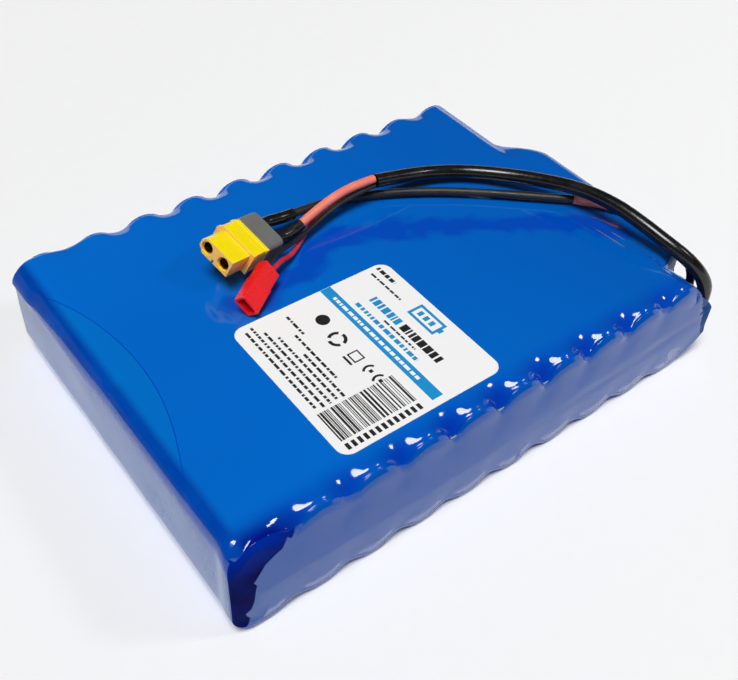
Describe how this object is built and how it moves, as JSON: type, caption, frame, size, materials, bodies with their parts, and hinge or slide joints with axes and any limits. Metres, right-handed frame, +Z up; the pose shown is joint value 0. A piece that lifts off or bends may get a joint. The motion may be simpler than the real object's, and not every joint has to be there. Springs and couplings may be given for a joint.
{
  "type": "battery pack",
  "caption": "Shrink-wrapped cylindrical-cell battery pack with a side-mounted protection board, sleeved leads on top, a keyed discharge connector and a small charge connector.",
  "frame": {"origin": "middle of the underside's bounding box, taken without the leads and their connectors, on the surface the pack lies on", "axes": "+X along the pack's long side towards the lead exit and the protection board, +Y across it along the cells, +Z up"},
  "size_m": [0.1966, 0.1358, 0.0555],
  "materials": {
    "cell_wrap": "glossy",
    "shrink_film": "glossy",
    "inner_film": "glossy",
    "label": "satin",
    "sleeving": "semi-gloss",
    "silicone_black": "satin",
    "silicone_red": "satin",
    "thin_lead_black": "semi-gloss",
    "thin_lead_red": "semi-gloss",
    "heat_shrink_black": "glossy",
    "heat_shrink_red": "semi-gloss",
    "connector_yellow": "satin",
    "connector_grey": "matt",
    "gold_contact": "polished",
    "connector_red": "satin",
    "tinned_pin": "tinned",
    "cell_steel": "plated",
    "white_ring": "matt",
    "nickel": "plated",
    "epoxy_board": "matt",
    "barley_paper": "matt",
    "foam": "matt",
    "solder_mask": "glossy",
    "package_black": "matt",
    "spreader": "brushed",
    "can": "brushed",
    "header_white": "satin"
  },
  "bodies": {
    "root": {"cell_group_01": "cell_wrap", "cell_group_02": "cell_wrap", "cell_group_03": "cell_wrap", "cell_group_04": "cell_wrap", "cell_group_05": "cell_wrap", "cell_group_06": "cell_wrap", "cell_group_07": "cell_wrap", "cell_group_08": "cell_wrap", "cell_group_09": "cell_wrap", "cell_group_10": "cell_wrap", "outer_sleeve": "shrink_film", "inner_sleeve": "inner_film", "label": "label", "lead_sleeve": "sleeving", "negative_lead": "silicone_black", "positive_lead": "silicone_red", "charge_lead_black": "thin_lead_black", "charge_lead_red": "thin_lead_red", "negative_heat_shrink": "heat_shrink_black", "positive_heat_shrink": "heat_shrink_black", "splice_sleeve": "heat_shrink_red", "discharge_shell": "connector_yellow", "discharge_hood": "connector_grey", "positive_socket": "gold_contact", "negative_socket": "gold_contact", "charge_shell": "connector_red", "charge_pins": "tinned_pin", "cell_tops": "cell_steel", "cell_top_rings": "white_ring", "nickel_straps_near_face": "nickel", "nickel_straps_near_middle": "nickel", "nickel_straps_far_middle": "nickel", "nickel_straps_far_face": "nickel", "series_link": "nickel", "centre_board": "epoxy_board", "bottom_board": "epoxy_board", "top_board": "epoxy_board", "outer_end_board": "epoxy_board", "circuit_end_board": "epoxy_board", "near_face_paper": "barley_paper", "far_face_paper": "barley_paper", "circuit_pad": "foam", "circuit_board": "solder_mask", "transistors": "package_black", "heat_spreader": "spreader", "shunt_resistors": "package_black", "capacitors": "can", "temperature_probe": "package_black", "balance_header": "header_white", "balance_plug": "header_white", "balance_wires": "thin_lead_black", "inner_positive_lead": "silicone_red", "inner_negative_lead": "silicone_black"}
  },
  "joints": []
}
